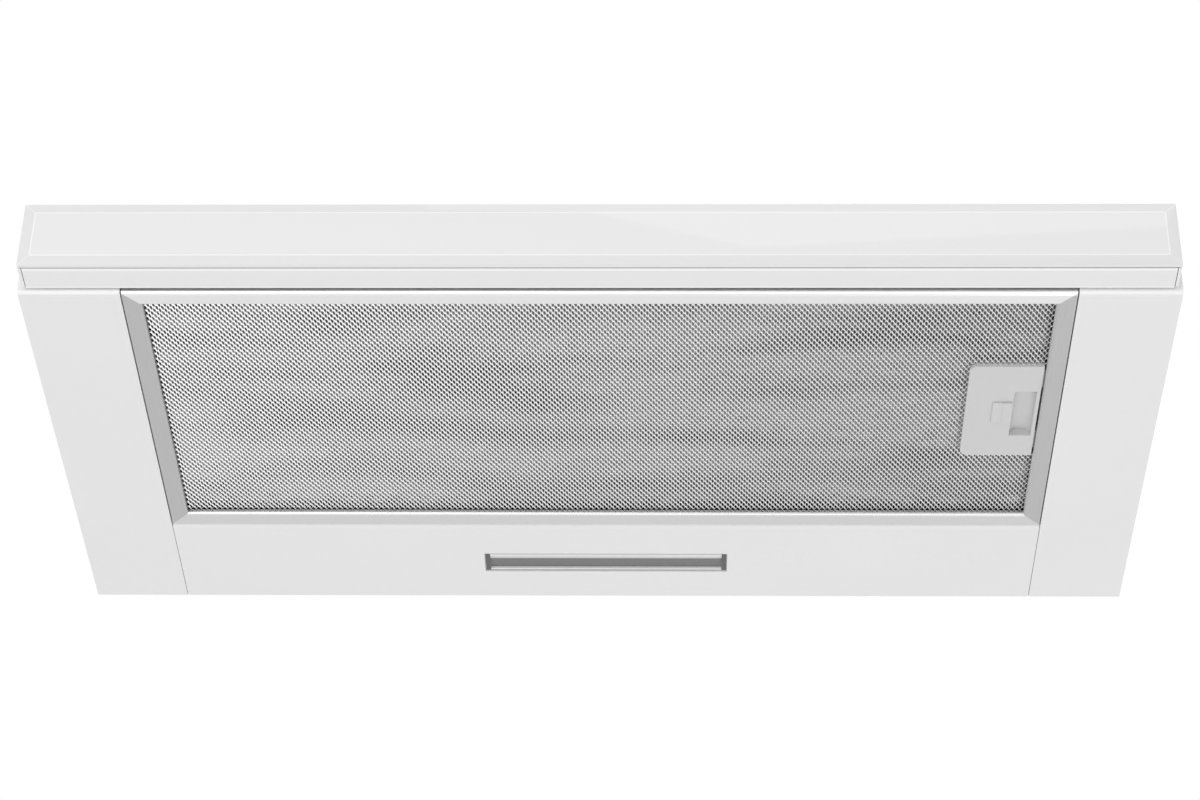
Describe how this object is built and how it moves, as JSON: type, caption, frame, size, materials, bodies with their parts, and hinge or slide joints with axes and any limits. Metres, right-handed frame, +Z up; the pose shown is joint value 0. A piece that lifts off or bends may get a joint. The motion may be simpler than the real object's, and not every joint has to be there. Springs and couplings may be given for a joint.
{
  "type": "built-in cooker hood",
  "caption": "Telescopic cooker hood for a wall cabinet: a flat box with a glass-fronted drawer, swing-down grease filter, light bar, push keys, blower box and round duct outlet with flaps.",
  "frame": {"origin": "under the middle of the closed hood's outline, level with its underside", "axes": "+X to the right seen from the front, +Y towards the wall, +Z up; the glass front faces -Y"},
  "size_m": [0.6, 0.3104, 0.178],
  "materials": {
    "white_paint": "satin white powder coat",
    "white_glass": "clear glass painted white on its back",
    "white_plastic": "white moulding",
    "grey_plastic": "grey moulding",
    "latch_plastic": "light grey moulding",
    "dark_plastic": "dark grey moulding",
    "diffuser": "frosted, unlit",
    "board": "white circuit board",
    "foam": "foam tape",
    "rubber": "black",
    "zinc": "zinc-coated sheet",
    "slide_steel": "bright zinc",
    "ball_steel": "polished",
    "filter_metal": "satin",
    "motor_paint": "dark satin",
    "can": "plain"
  },
  "bodies": {
    "housing": {"top_plate": "zinc", "side_wall_left": "zinc", "side_wall_right": "zinc", "rear_wall": "zinc", "side_cover_left": "white_paint", "side_cover_right": "white_paint", "lamp_panel": "white_paint", "lamp_frame": "grey_plastic", "lamp_diffuser": "diffuser", "led_board": "board", "lamp_cover": "grey_plastic", "slide_outer_left": "slide_steel", "slide_outer_right": "slide_steel", "drawer_buffers": "rubber", "motor_box": "zinc", "box_screws": "slide_steel", "collar_flange": "dark_plastic", "duct_collar": "dark_plastic", "flap_pin": "slide_steel", "volute_shell": "dark_plastic", "volute_base": "dark_plastic", "motor": "motor_paint", "motor_bracket": "zinc", "motor_bushes": "rubber", "capacitor": "can", "terminal_box": "grey_plastic", "led_driver": "white_plastic", "cable_gland": "dark_plastic"},
    "slide_cages": {"slide_cages": "slide_steel", "slide_balls": "ball_steel"},
    "drawer": {"slide_inner_left": "slide_steel", "slide_inner_right": "slide_steel", "drawer_side_left": "white_paint", "drawer_side_right": "white_paint", "front_channel": "white_paint", "rear_pan": "white_paint", "drawer_filter_frame": "filter_metal", "drawer_filter_mesh": "filter_metal", "front_rail": "white_paint", "glass_front": "white_glass", "glass_tape": "foam", "end_cap_left": "white_plastic", "end_cap_right": "white_plastic", "control_module": "grey_plastic"},
    "key_1": {"key_1": "white_plastic"},
    "key_2": {"key_2": "white_plastic"},
    "key_3": {"key_3": "white_plastic"},
    "key_4": {"key_4": "white_plastic"},
    "key_5": {"key_5": "white_plastic"},
    "filter": {"filter_frame": "filter_metal", "filter_mesh": "filter_metal", "filter_core": "filter_metal", "filter_hooks": "slide_steel", "latch_plate": "latch_plastic", "latch_spring": "slide_steel"},
    "latch": {"latch_slider": "latch_plastic"},
    "flap_front": {"flap_front": "dark_plastic"},
    "flap_rear": {"flap_rear": "dark_plastic"},
    "impeller": {"impeller": "dark_plastic", "motor_shaft": "slide_steel"}
  },
  "joints": [
    {"name": "drawer_slide", "type": "slide", "parent": "housing", "child": "drawer", "axis": [0, -1, 0], "range_m": [0, 0.18]},
    {"name": "cage_slide", "type": "slide", "parent": "housing", "child": "slide_cages", "axis": [0, -1, 0], "range_m": [0, 0.09]},
    {"name": "filter_swing", "type": "hinge", "parent": "housing", "child": "filter", "pos_m": [-0.2455, 0, 0.001], "axis": [0, 1, 0], "range_deg": [0, 60]},
    {"name": "latch_slide", "type": "slide", "parent": "filter", "child": "latch", "axis": [-1, 0, 0], "range_m": [0, 0.005], "stiffness_N_per_m": 300, "springref_m": -0.005, "deforming": ["latch_spring"]},
    {"name": "key_1_press", "type": "slide", "parent": "drawer", "child": "key_1", "axis": [0, 0, -1], "range_m": [0, 0.0012], "stiffness_N_per_m": 600, "springref_m": -0.001},
    {"name": "key_2_press", "type": "slide", "parent": "drawer", "child": "key_2", "axis": [0, 0, -1], "range_m": [0, 0.0012], "stiffness_N_per_m": 600, "springref_m": -0.001},
    {"name": "key_3_press", "type": "slide", "parent": "drawer", "child": "key_3", "axis": [0, 0, -1], "range_m": [0, 0.0012], "stiffness_N_per_m": 600, "springref_m": -0.001},
    {"name": "key_4_press", "type": "slide", "parent": "drawer", "child": "key_4", "axis": [0, 0, -1], "range_m": [0, 0.0012], "stiffness_N_per_m": 600, "springref_m": -0.001},
    {"name": "key_5_press", "type": "slide", "parent": "drawer", "child": "key_5", "axis": [0, 0, -1], "range_m": [0, 0.0012], "stiffness_N_per_m": 600, "springref_m": -0.001},
    {"name": "flap_front_swing", "type": "hinge", "parent": "housing", "child": "flap_front", "pos_m": [0, 0.0722, 0.152], "axis": [-1, 0, 0], "range_deg": [0, 70]},
    {"name": "flap_rear_swing", "type": "hinge", "parent": "housing", "child": "flap_rear", "pos_m": [0, 0.0722, 0.152], "axis": [1, 0, 0], "range_deg": [0, 70]},
    {"name": "impeller_spin", "type": "hinge", "parent": "housing", "child": "impeller", "pos_m": [-0.14, 0.0692, 0.09], "axis": [0, 0, 1], "continuous": true}
  ],
  "couplings": [
    {"joint": "cage_slide", "follows": "drawer_slide", "ratio": 0.5}
  ]
}
